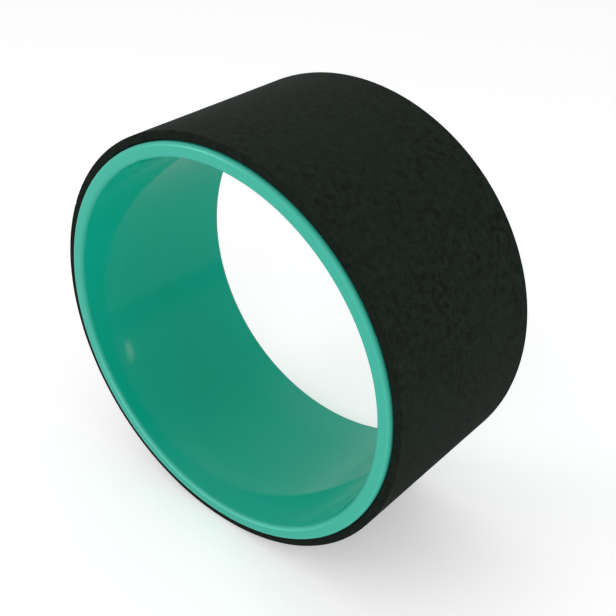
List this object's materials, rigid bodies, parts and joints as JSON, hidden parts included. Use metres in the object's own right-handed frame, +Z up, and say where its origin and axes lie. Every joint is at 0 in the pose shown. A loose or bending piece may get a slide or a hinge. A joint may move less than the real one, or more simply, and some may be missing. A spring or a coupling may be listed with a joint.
{
  "type": "yoga wheel",
  "caption": "Open wheel for stretching the back: a glossy moulded plastic hoop with a soft foam band bonded round its tread.",
  "frame": {"origin": "the wheel's centre, on its axis, midway between the two rim faces", "axes": "+Y along the wheel's axis, from the front rim to the back rim; +Z up as the wheel stands on its tread; +X to the right seen from the front"},
  "size_m": [0.33, 0.1616, 0.33],
  "materials": {
    "hoop_plastic": "glossy moulded ABS, teal green",
    "foam": "matt closed-cell foam, black",
    "contact_adhesive": "dried contact adhesive, black"
  },
  "bodies": {
    "root": {"core_hoop": "hoop_plastic", "adhesive_film": "contact_adhesive", "foam_band": "foam", "seam_glue": "contact_adhesive"}
  },
  "joints": []
}
